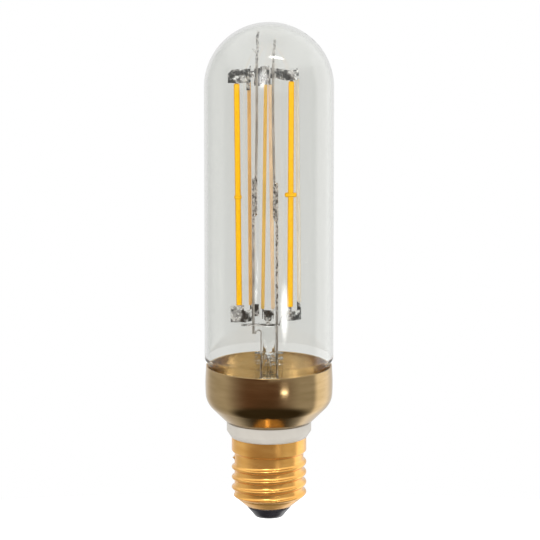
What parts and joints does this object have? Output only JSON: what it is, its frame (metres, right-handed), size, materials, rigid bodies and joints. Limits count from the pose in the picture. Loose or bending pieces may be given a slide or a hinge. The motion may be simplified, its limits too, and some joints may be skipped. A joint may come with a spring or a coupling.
{
  "type": "tubular light bulb",
  "caption": "Clear glass tubular bulb with straight yellow filaments on wire supports, a mirror-gold cup, a white collar and a brass screw cap that feeds and holds it.",
  "frame": {"origin": "centre of the flat foot of the centre contact", "axes": "+Z along the bulb's axis from the cap to the dome, -Y towards the front of the filament cage"},
  "size_m": [0.045, 0.045, 0.1755],
  "materials": {
    "clear_glass": "clear blown glass, glossy",
    "stem_glass": "clear pressed glass, glossy",
    "gold_mirror": "polished mirror gold",
    "collar_white": "smooth moulded white plastic",
    "cement_grey": "matt cement",
    "cap_brass": "bright rolled brass",
    "insulator_black": "glossy black moulded insulator",
    "contact_tin": "tinned contact",
    "wire_nickel": "drawn nickel wire",
    "bracket_steel": "bright stamped sheet",
    "phosphor_yellow": "satin phosphor silicone",
    "board_green": "glass-fibre board",
    "chip_black": "moulded resin",
    "capacitor_sleeve": "shrunk sleeve",
    "fuse_ceramic": "lacquered ceramic"
  },
  "bodies": {
    "root": {"glass_envelope": "clear_glass", "gold_cup": "gold_mirror", "neck_collar": "collar_white", "neck_cement": "cement_grey", "cap_shell": "cap_brass", "cap_insulator": "insulator_black", "centre_contact": "contact_tin", "glass_stem": "stem_glass", "lead_wire_left": "wire_nickel", "lead_wire_right": "wire_nickel", "support_wire_left_lower": "wire_nickel", "support_wire_left_upper": "wire_nickel", "support_wire_right_lower": "wire_nickel", "support_wire_right_upper": "wire_nickel", "top_bracket_left": "bracket_steel", "top_bracket_middle": "bracket_steel", "top_bracket_right": "bracket_steel", "bottom_bracket_left": "bracket_steel", "bottom_bracket_middle": "bracket_steel", "bottom_bracket_right": "bracket_steel", "cross_strip": "bracket_steel", "driver_board": "board_green", "bridge_rectifier": "chip_black", "driver_chip": "chip_black", "smoothing_capacitor": "capacitor_sleeve", "fuse_resistor": "fuse_ceramic", "neutral_wire": "wire_nickel", "filament_strip_left_front": "bracket_steel", "filament_phosphor_left_front": "phosphor_yellow", "filament_strip_left_side": "bracket_steel", "filament_phosphor_left_side": "phosphor_yellow", "filament_strip_rear_left": "bracket_steel", "filament_phosphor_rear_left": "phosphor_yellow", "filament_strip_rear_right": "bracket_steel", "filament_phosphor_rear_right": "phosphor_yellow", "filament_strip_right_front": "bracket_steel", "filament_phosphor_right_front": "phosphor_yellow", "filament_strip_right_side": "bracket_steel", "filament_phosphor_right_side": "phosphor_yellow"}
  },
  "joints": []
}
